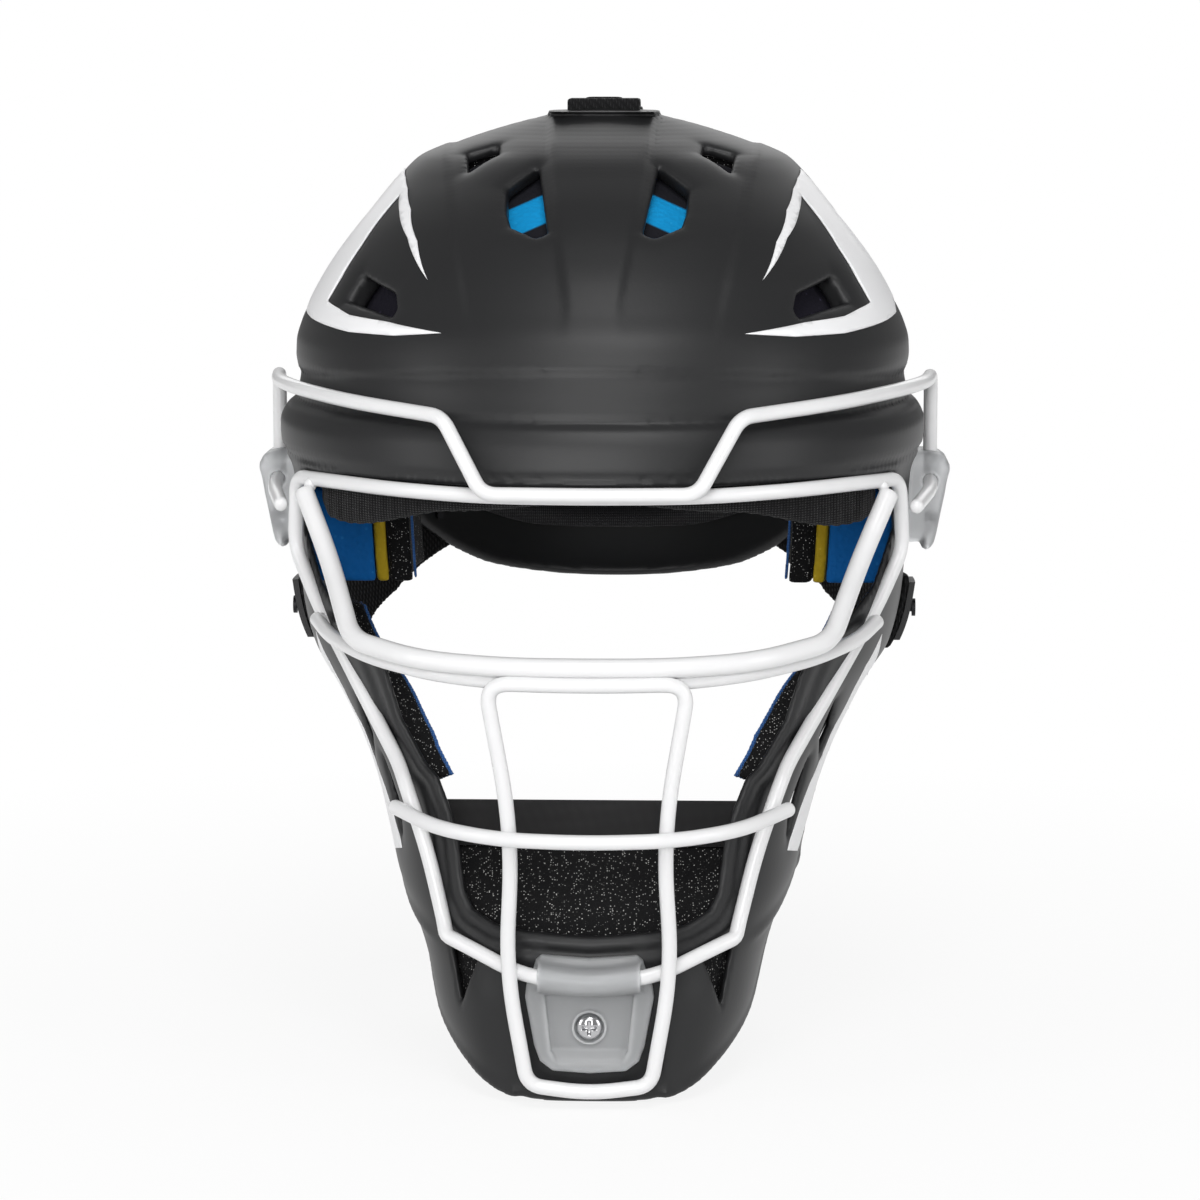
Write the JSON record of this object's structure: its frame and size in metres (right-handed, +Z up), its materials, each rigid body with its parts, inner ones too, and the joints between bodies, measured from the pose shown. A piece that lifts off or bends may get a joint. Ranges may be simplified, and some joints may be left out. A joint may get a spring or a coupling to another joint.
{
  "type": "baseball catcher helmet",
  "caption": "Hockey-style catcher helmet with a welded wire cage, foam lining, strapped tilting back plate and frosted plastic clips.",
  "frame": {"origin": "middle of the whole helmet in X and Y, at its lowest point under the chin", "axes": "+Z up as worn, +X to the right of the picture, face towards -Y"},
  "size_m": [0.2326, 0.283, 0.314],
  "materials": {
    "shell": "matte charcoal-black moulded ABS with white paint stripes",
    "cage": "glossy white vinyl-coated steel wire",
    "clip": "frosted translucent moulded plastic",
    "hardware": "bright plated steel",
    "foam_blue": "bright blue closed-cell foam",
    "foam_yellow": "yellow closed-cell foam",
    "foam_black": "black speckled foam",
    "knit": "black ribbed knit over foam",
    "liner_fabric": "dark purple-grey brushed fabric",
    "webbing": "black woven webbing",
    "moulded": "black moulded nylon"
  },
  "bodies": {
    "helmet": {"main_shell": "shell", "brow_wire": "cage", "perimeter_wire": "cage", "eye_wire": "cage", "cross_wire": "cage", "nose_wire": "cage", "mouth_wire": "cage", "side_clip_right": "clip", "side_clip_left": "clip", "chin_clip": "clip", "clip_screws": "hardware", "clip_nuts": "hardware", "brow_pad": "knit", "brow_foam_strip": "foam_blue", "front_foam": "foam_blue", "crown_pad": "foam_black", "side_foam_right": "foam_black", "side_foam_left": "foam_black", "temple_foam_right": "foam_blue", "temple_foam_left": "foam_blue", "temple_core_right": "foam_yellow", "temple_core_left": "foam_yellow", "temple_liner_right": "foam_black", "temple_liner_left": "foam_black", "jaw_pad_right": "foam_black", "jaw_pad_left": "foam_black", "chin_pad": "foam_black", "chin_liner": "knit", "strap_anchor": "moulded", "crown_strap": "webbing", "strap_keepers": "moulded", "keeper_rivets": "hardware", "side_strap_right": "webbing", "side_strap_left": "webbing"},
    "back_plate": {"back_plate": "shell", "plate_pad": "liner_fabric", "plate_strap": "webbing", "plate_buckle": "moulded", "strap_hooks": "moulded", "hook_rivets": "hardware"}
  },
  "joints": [
    {"name": "back_plate_tilt", "type": "hinge", "parent": "helmet", "child": "back_plate", "pos_m": [0, 0.111, 0.2754], "axis": [1, 0, 0], "range_deg": [0, 20], "stiffness_Nm_per_rad": 0.4, "deforming": ["side_strap_right", "side_strap_left"]}
  ]
}
